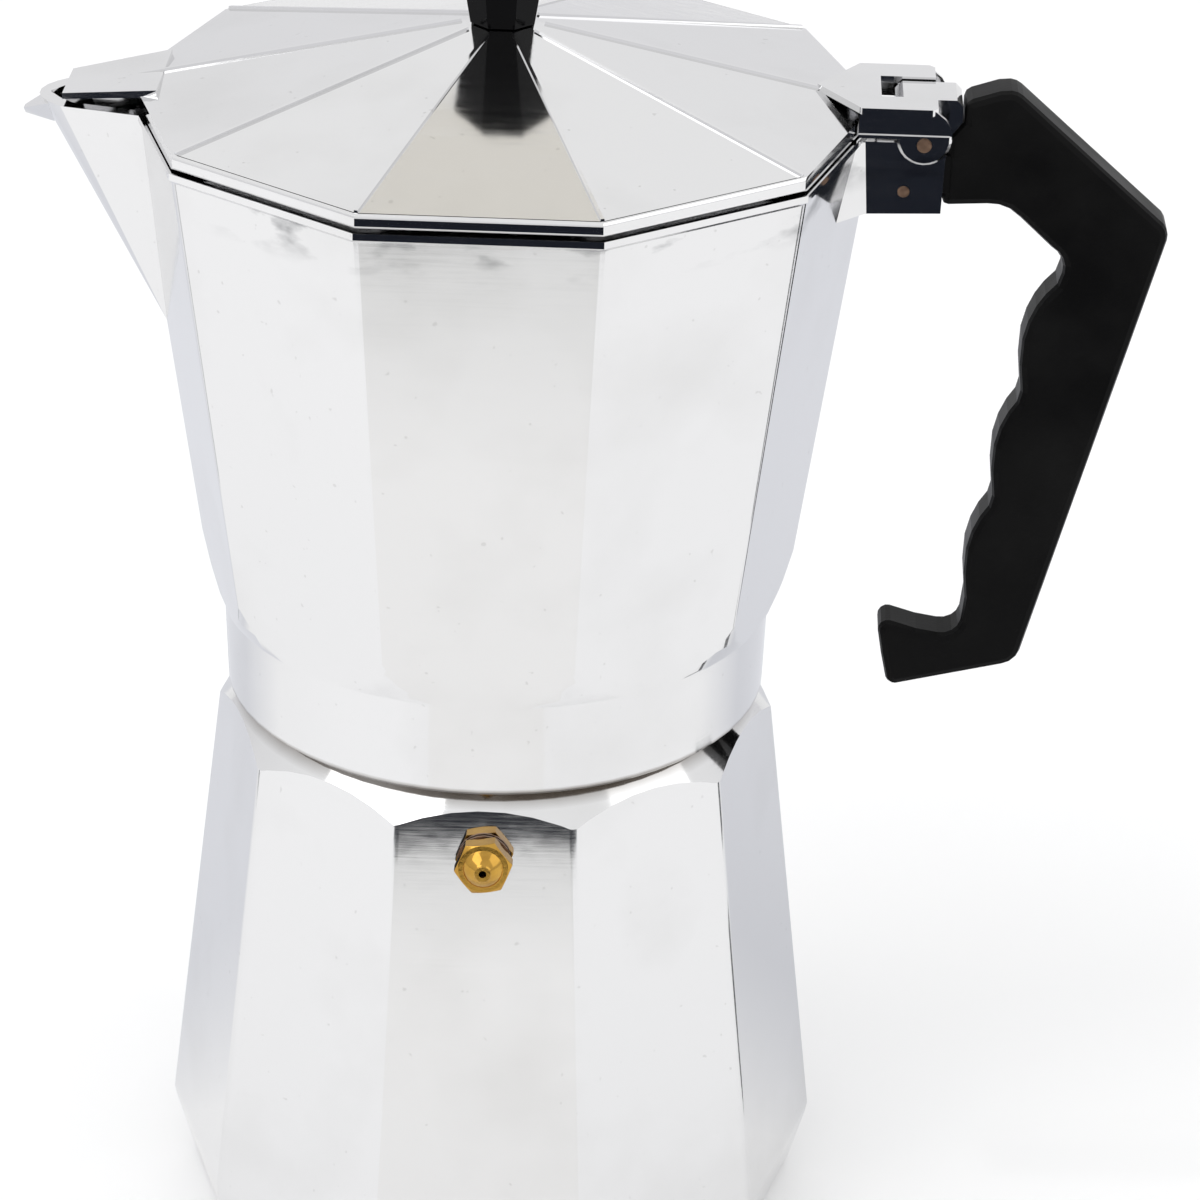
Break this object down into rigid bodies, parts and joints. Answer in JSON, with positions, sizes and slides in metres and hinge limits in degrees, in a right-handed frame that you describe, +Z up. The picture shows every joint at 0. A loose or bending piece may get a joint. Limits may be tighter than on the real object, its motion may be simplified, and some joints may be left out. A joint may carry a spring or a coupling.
{
  "type": "moka_pot",
  "caption": "Ten-sided cast aluminium stovetop moka pot with a screw-on collector, hinged lid, black handle and knob, brass safety valve and funnel.",
  "frame": {"origin": "on the pot's axis, at the centre of the flat base", "axes": "+Z up, +X towards the handle, -X towards the spout, -Y towards the safety valve"},
  "size_m": [0.2041, 0.1272, 0.2634],
  "materials": {
    "cast_body": "polished cast aluminium with faint brushing",
    "sheet_aluminium": "spun sheet aluminium",
    "valve_brass": "turned brass",
    "coppered_steel": "copper-tinted pin steel",
    "steel": "plain steel",
    "silicone": "soft white silicone",
    "handle_plastic": "satin black moulding",
    "knob_plastic": "glossy black moulding"
  },
  "bodies": {
    "boiler": {"boiler": "cast_body", "safety_valve_body": "valve_brass", "safety_valve_washer": "coppered_steel", "safety_valve_seat": "valve_brass", "safety_valve_spring": "steel", "funnel_basket": "sheet_aluminium", "funnel_screen": "sheet_aluminium", "funnel_stem": "sheet_aluminium"},
    "poppet": {"safety_valve_poppet": "steel"},
    "seal": {"gasket": "silicone", "filter_plate": "sheet_aluminium"},
    "collector": {"collector": "cast_body", "column_cap": "cast_body", "handle": "handle_plastic", "handle_pin": "coppered_steel", "hinge_pin": "coppered_steel"},
    "lid": {"lid": "cast_body", "knob": "knob_plastic", "knob_insert": "valve_brass", "knob_screw": "steel", "knob_washer": "steel"}
  },
  "joints": [
    {"name": "collector_rise", "type": "slide", "parent": "boiler", "child": "seal", "axis": [0, 0, 1], "range_m": [0, 0.01001]},
    {"name": "collector_unscrew", "type": "hinge", "parent": "seal", "child": "collector", "pos_m": [0, 0, 0.1286], "axis": [0, 0, 1], "range_deg": [0, 720]},
    {"name": "lid_hinge", "type": "hinge", "parent": "collector", "child": "lid", "pos_m": [0.0744, 0, 0.2217], "axis": [0, 1, 0], "range_deg": [0, 100]},
    {"name": "valve_poppet_slide", "type": "slide", "parent": "boiler", "child": "poppet", "axis": [0.0236, -0.9932, 0.1136], "range_m": [0, 0.001], "stiffness_N_per_m": 800, "springref_m": -0.001, "deforming": ["safety_valve_spring"]}
  ],
  "couplings": [
    {"joint": "collector_rise", "follows": "collector_unscrew", "m_per_rad": 0.00079577}
  ]
}
